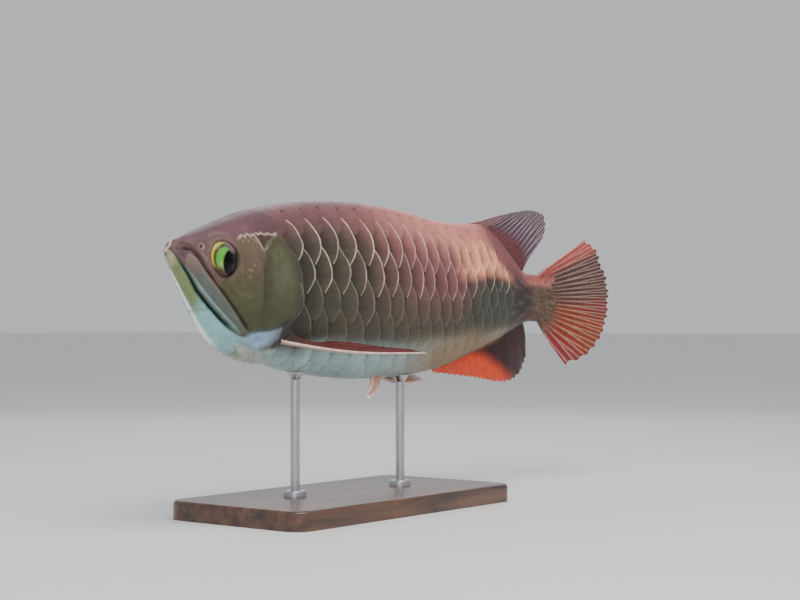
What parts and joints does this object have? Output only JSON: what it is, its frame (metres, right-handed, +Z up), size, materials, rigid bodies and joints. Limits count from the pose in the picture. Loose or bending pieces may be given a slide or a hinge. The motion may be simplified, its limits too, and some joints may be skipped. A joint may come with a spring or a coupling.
{
  "type": "asian arowana display model",
  "caption": "Life-size still model of an asian arowana with large rimmed scales, swept fins and chin barbels, its body gently bent, held over a flat wooden base by steel rods.",
  "frame": {"origin": "centre of the underside of the stand's base, on the floor", "axes": "+Z up; +X from the snout to the tail fin, along the fish's length; the fish's left flank faces -Y"},
  "size_m": [0.57, 0.1816, 0.2425],
  "materials": {
    "head_skin": "wet mauve-brown skin over the skull",
    "jaw_skin": "olive-green to pale aqua skin",
    "bone_plate": "glossy olive-grey plates of the gill cover and lip",
    "eye": "green-yellow iris, black pupil, wet gloss",
    "back_scales": "salmon-mauve scales with pale rims",
    "flank_scales": "olive-grey scales with pale gold and pink rims",
    "dorsal_fin": "mauve-grey skin between pale rays",
    "anal_fin": "bright orange-red, darker red behind",
    "caudal_fin": "pink-red and orange-red with a tan root",
    "paired_fin": "dark red with a pale pink first ray",
    "barbel": "pale pinkish whisker",
    "stand_wood": "dark stained wood, satin varnish",
    "stand_steel": "fine brushed rod"
  },
  "bodies": {
    "root": {"head": "head_skin", "lower_jaw": "jaw_skin", "maxilla_left": "bone_plate", "maxilla_right": "bone_plate", "gill_cover_left": "bone_plate", "gill_cover_right": "bone_plate", "eye_left": "eye", "eye_right": "eye", "barbel_left": "barbel", "barbel_right": "barbel", "trunk_front": "back_scales", "trunk_middle": "flank_scales", "trunk_rear": "flank_scales", "tail_stalk": "flank_scales", "dorsal_fin": "dorsal_fin", "anal_fin": "anal_fin", "caudal_fin": "caudal_fin", "pectoral_fin_left": "paired_fin", "pectoral_fin_right": "paired_fin", "pelvic_fin_left": "paired_fin", "pelvic_fin_right": "paired_fin", "stand_base": "stand_wood", "stand_rod_front": "stand_steel", "stand_rod_rear": "stand_steel"}
  },
  "joints": []
}
